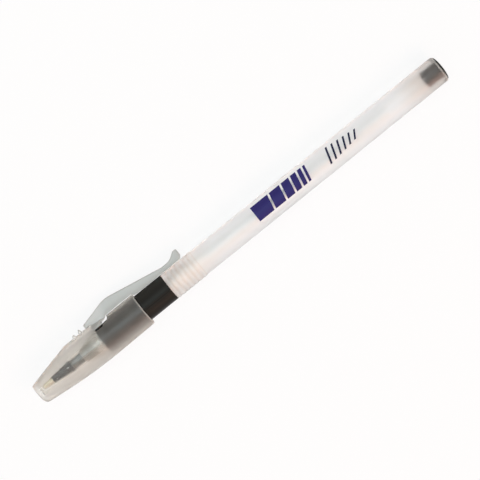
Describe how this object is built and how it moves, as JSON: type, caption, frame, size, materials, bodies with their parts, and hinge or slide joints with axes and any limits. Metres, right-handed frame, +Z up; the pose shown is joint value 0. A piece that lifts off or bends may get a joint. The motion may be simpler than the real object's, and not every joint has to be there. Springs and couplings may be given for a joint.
{
  "type": "disposable ballpoint pen",
  "caption": "Capped stick ballpoint pen: frosted ringed barrel, black front section and tail plug, refill with brass tip, and a pull-off cap with a sprung pocket clip.",
  "frame": {"origin": "on the table, under the middle of the pen's box", "axes": "+X along the pen from its tail to its capped point, +Z up, and the pocket clip towards -Y, dipping to the table"},
  "size_m": [0.148, 0.014, 0.0113],
  "materials": {
    "frosted_cap": "frosted, see-through, moulded",
    "frosted_barrel": "frosted, milky, moulded",
    "black_plastic": "satin black, moulded",
    "pale_plastic": "natural, cloudy, moulded",
    "dark_plastic": "satin near-black, moulded",
    "black_ink": "thick black paste",
    "tip_brass": "turned, bare",
    "ball_steel": "polished hard ball"
  },
  "bodies": {
    "pen": {"barrel": "frosted_barrel", "tail_plug": "black_plastic", "front_section": "black_plastic", "nose_cone": "pale_plastic", "ink_tube": "pale_plastic", "ink_column": "black_ink", "point_holder": "dark_plastic", "brass_tip": "tip_brass"},
    "cap": {"cap": "frosted_cap"},
    "clip": {"pocket_clip": "frosted_cap"},
    "ball": {"writing_ball": "ball_steel"}
  },
  "joints": [
    {"name": "cap_pull", "type": "slide", "parent": "pen", "child": "cap", "axis": [1, 0, 0], "range_m": [0, 0.042]},
    {"name": "clip_flex", "type": "hinge", "parent": "cap", "child": "clip", "pos_m": [0.05186, -0.00367, 0.00269], "axis": [0, -0.51, 0.8602], "range_deg": [0, 3], "stiffness_Nm_per_rad": 1},
    {"name": "ball_roll", "type": "hinge", "parent": "pen", "child": "ball", "pos_m": [0.07134, 0.00134, 0.00566], "axis": [0, 1, 0], "continuous": true}
  ]
}
